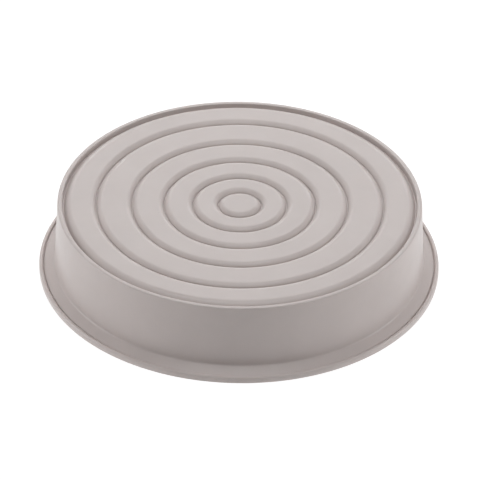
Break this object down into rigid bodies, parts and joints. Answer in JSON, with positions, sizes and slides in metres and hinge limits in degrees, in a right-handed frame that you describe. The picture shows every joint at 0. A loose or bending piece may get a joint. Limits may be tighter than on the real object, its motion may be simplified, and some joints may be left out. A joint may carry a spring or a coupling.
{
  "type": "silicone baking mould",
  "caption": "Round, shallow baking mould in flexible silicone, with concentric raised rings on its base, a lip round the base and a flared, beaded rim stiffened by a steel hoop.",
  "frame": {"origin": "centre of the rim's resting face, on the mould's axis, with the mould standing upside down", "axes": "+Z along the axis from the open mouth up to the ringed base; the mould is round, so X and Y are alike"},
  "size_m": [0.2636, 0.2636, 0.051],
  "materials": {
    "silicone": "matte",
    "steel": "satin"
  },
  "bodies": {
    "root": {"mould": "silicone", "rim_hoop": "steel"}
  },
  "joints": []
}
